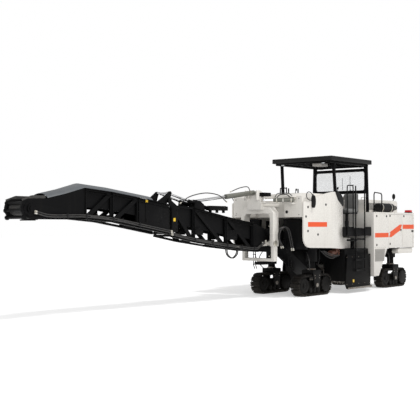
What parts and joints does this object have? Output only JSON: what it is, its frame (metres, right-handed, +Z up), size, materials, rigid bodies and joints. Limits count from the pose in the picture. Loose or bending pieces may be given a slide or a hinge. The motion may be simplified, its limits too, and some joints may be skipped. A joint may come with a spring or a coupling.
{
  "type": "cold planer milling machine",
  "caption": "Four-track road milling machine with a drum under the deck, a two-post canopy and a slewing, lifting, folding front conveyor.",
  "frame": {"origin": "centre of the bounding box, on the ground", "axes": "+Z up, front (conveyor end) toward -Y, the machine's left side at +X"},
  "size_m": [2.68, 14.59, 3.97],
  "materials": {
    "white_paint": "gloss",
    "black_paint": "satin",
    "track_steel": "matte",
    "chrome_rod": "polished",
    "belt_rubber": "matte",
    "seat_vinyl": "matte",
    "grey_cover": "satin",
    "window_glass": "gloss",
    "roof_shell": "satin",
    "desk_moulding": "satin"
  },
  "bodies": {
    "machine": {"air_cleaner": "black_paint", "belly_tank": "white_paint", "canopy_post_left": "black_paint", "canopy_post_right": "black_paint", "canopy_rear_frame": "black_paint", "canopy_roof": "roof_shell", "canopy_window": "window_glass", "control_console_left": "desk_moulding", "control_console_right": "desk_moulding", "drum_housing": "black_paint", "engine_block": "track_steel", "front_body": "white_paint", "guard_rail_left": "black_paint", "guard_rail_right": "black_paint", "ladder_left": "black_paint", "ladder_right": "black_paint", "main_frame": "black_paint", "mirror_left": "black_paint", "mirror_right": "black_paint", "pickup_conveyor": "black_paint", "platform_deck": "black_paint", "radiator_grille": "black_paint", "rear_body": "white_paint", "seat_left": "seat_vinyl", "seat_right": "seat_vinyl", "side_panel_left": "white_paint", "side_panel_right": "white_paint"},
    "drum": {"milling_drum": "track_steel"},
    "side_plate_left": {"side_plate_left": "black_paint"},
    "side_plate_right": {"side_plate_right": "black_paint"},
    "scraper": {"scraper_door": "black_paint"},
    "front_left_track": {"track_front_left": "track_steel", "leg_front_left": "black_paint"},
    "front_right_track": {"track_front_right": "track_steel", "leg_front_right": "black_paint"},
    "rear_left_track": {"track_rear_left": "track_steel", "leg_rear_left": "black_paint"},
    "rear_right_track": {"track_rear_right": "track_steel", "leg_rear_right": "black_paint"},
    "front_door_left": {"front_door_left": "white_paint"},
    "front_door_right": {"front_door_right": "white_paint"},
    "rear_door_left": {"rear_door_left": "white_paint"},
    "rear_door_right": {"rear_door_right": "white_paint"},
    "hood": {"engine_hood": "white_paint"},
    "arch": {"slew_arch": "white_paint"},
    "rear_conveyor": {"conveyor_rear_frame": "black_paint", "rear_belt": "belt_rubber"},
    "front_conveyor": {"conveyor_front_frame": "black_paint", "front_belt": "belt_rubber", "belt_cover": "grey_cover"},
    "lift_barrel": {"lift_cylinder": "black_paint"},
    "lift_rod": {"lift_rod": "chrome_rod"},
    "fold_barrels": {"fold_cylinders": "black_paint"},
    "fold_rods": {"fold_rods": "chrome_rod"},
    "slewing_barrel": {"slewing_cylinder": "black_paint"},
    "slewing_rod": {"slewing_rod": "chrome_rod"}
  },
  "joints": [
    {"name": "drum_spin", "type": "hinge", "parent": "machine", "child": "drum", "pos_m": [0, 3.925, 0.68], "axis": [1, 0, 0], "continuous": true},
    {"name": "side_plate_left_lift", "type": "slide", "parent": "machine", "child": "side_plate_left", "axis": [0, 0, 1], "range_m": [0, 0.3]},
    {"name": "side_plate_right_lift", "type": "slide", "parent": "machine", "child": "side_plate_right", "axis": [0, 0, 1], "range_m": [0, 0.3]},
    {"name": "scraper_hinge", "type": "hinge", "parent": "machine", "child": "scraper", "pos_m": [0, 4.535, 1.18], "axis": [1, 0, 0], "range_deg": [0, 75]},
    {"name": "front_left_steering", "type": "hinge", "parent": "machine", "child": "front_left_track", "pos_m": [0.705, 2.105, 0.3025], "axis": [0, 0, 1], "range_deg": [-20, 20]},
    {"name": "front_right_steering", "type": "hinge", "parent": "machine", "child": "front_right_track", "pos_m": [-0.705, 2.105, 0.3025], "axis": [0, 0, 1], "range_deg": [-20, 20]},
    {"name": "rear_left_steering", "type": "hinge", "parent": "machine", "child": "rear_left_track", "pos_m": [0.818, 6.405, 0.3025], "axis": [0, 0, 1], "range_deg": [-15, 15]},
    {"name": "rear_right_steering", "type": "hinge", "parent": "machine", "child": "rear_right_track", "pos_m": [-0.818, 6.405, 0.3025], "axis": [0, 0, 1], "range_deg": [-15, 15]},
    {"name": "front_door_left_hinge", "type": "hinge", "parent": "machine", "child": "front_door_left", "pos_m": [1.25, 5.535, 1.79], "axis": [0, 0, -1], "range_deg": [0, 90]},
    {"name": "front_door_right_hinge", "type": "hinge", "parent": "machine", "child": "front_door_right", "pos_m": [-1.25, 5.535, 1.79], "axis": [0, 0, 1], "range_deg": [0, 90]},
    {"name": "rear_door_left_hinge", "type": "hinge", "parent": "machine", "child": "rear_door_left", "pos_m": [1.25, 6.415, 1.79], "axis": [0, 0, -1], "range_deg": [0, 90]},
    {"name": "rear_door_right_hinge", "type": "hinge", "parent": "machine", "child": "rear_door_right", "pos_m": [-1.25, 6.415, 1.79], "axis": [0, 0, 1], "range_deg": [0, 90]},
    {"name": "hood_hinge", "type": "hinge", "parent": "machine", "child": "hood", "pos_m": [0, 6.975, 2.41], "axis": [-1, 0, 0], "range_deg": [0, 60]},
    {"name": "slewing", "type": "hinge", "parent": "machine", "child": "arch", "pos_m": [0, 0.635, 1.48], "axis": [0, 0, 1], "range_deg": [-40, 40]},
    {"name": "conveyor_lift", "type": "hinge", "parent": "arch", "child": "rear_conveyor", "pos_m": [0, 0.635, 1.48], "axis": [-1, 0, 0], "range_deg": [-6, 24]},
    {"name": "conveyor_fold", "type": "hinge", "parent": "rear_conveyor", "child": "front_conveyor", "pos_m": [0, -3.145, 2.56], "axis": [-1, 0, 0], "range_deg": [0, 110]},
    {"name": "lift_cylinder_swing", "type": "hinge", "parent": "arch", "child": "lift_barrel", "pos_m": [0, 0.315, 2.86], "axis": [-1, 0, 0], "range_deg": [-7.85, 29.27]},
    {"name": "lift_rod_slide", "type": "slide", "parent": "lift_barrel", "child": "lift_rod", "axis": [0, 0.9924, 0.123], "range_m": [-0.1554, 0.5791]},
    {"name": "fold_cylinder_swing", "type": "hinge", "parent": "rear_conveyor", "child": "fold_barrels", "pos_m": [0, -2.165, 2.52], "axis": [-1, 0, 0], "range_deg": [-17.17, 0.34]},
    {"name": "fold_rod_slide", "type": "slide", "parent": "fold_barrels", "child": "fold_rods", "axis": [0, 0.9726, -0.2326], "range_m": [-0.0039, 0.1994]},
    {"name": "slewing_cylinder_swing", "type": "hinge", "parent": "machine", "child": "slewing_barrel", "pos_m": [0.95, 0.835, 2.66], "axis": [0, 0, 1], "range_deg": [-9.72, 9.72]},
    {"name": "slewing_rod_slide", "type": "slide", "parent": "slewing_barrel", "child": "slewing_rod", "axis": [0.8633, 0.5047, 0], "range_m": [-0.2029, 0.2029]}
  ],
  "couplings": [
    {"joint": "front_right_steering", "follows": "front_left_steering", "ratio": 1},
    {"joint": "rear_right_steering", "follows": "rear_left_steering", "ratio": 1},
    {"joint": "lift_cylinder_swing", "follows": "conveyor_lift", "ratio": 1.19},
    {"joint": "lift_rod_slide", "follows": "conveyor_lift", "m_per_rad": 1.3488},
    {"joint": "fold_cylinder_swing", "follows": "conveyor_fold", "ratio": -0.153},
    {"joint": "fold_rod_slide", "follows": "conveyor_fold", "m_per_rad": 0.1018},
    {"joint": "slewing_cylinder_swing", "follows": "slewing", "ratio": -0.2336},
    {"joint": "slewing_rod_slide", "follows": "slewing", "m_per_rad": 0.2794}
  ]
}
